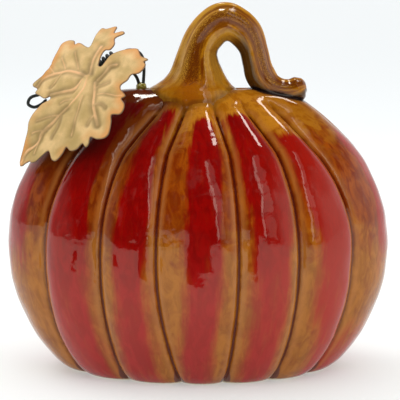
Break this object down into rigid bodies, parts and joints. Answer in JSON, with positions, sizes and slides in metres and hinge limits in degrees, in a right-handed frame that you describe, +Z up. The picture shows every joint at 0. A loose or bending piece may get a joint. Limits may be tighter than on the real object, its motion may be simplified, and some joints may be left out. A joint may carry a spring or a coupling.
{
  "type": "ceramic pumpkin figure",
  "caption": "Flattened glazed ceramic pumpkin in red and amber stripes, with a looped ceramic stem and a stamped metal leaf and curly tendril on wires.",
  "frame": {"origin": "centre of the foot's outline, on the surface that the pumpkin stands on", "axes": "+X to the right along the body's width, +Y to the back, +Z up"},
  "size_m": [0.1876, 0.124, 0.1816],
  "materials": {
    "body_glaze": "clear high gloss over brushed red and amber stripes, darker brown in the grooves",
    "stem_glaze": "clear high gloss over honey amber, streaked with brown along the flutes",
    "leaf_paint": "matt tan with copper edges and greenish brown hollows",
    "wire_enamel": "black enamel with tan overspray on the upper side",
    "glue": "glossy yellow-green set glue",
    "solder": "dull grey metal"
  },
  "bodies": {
    "root": {"pumpkin_shell": "body_glaze", "stem": "stem_glaze", "leaf": "leaf_paint", "leaf_wire": "wire_enamel", "tendril_wire": "wire_enamel", "glue_bead": "glue", "solder_joint": "solder"}
  },
  "joints": []
}
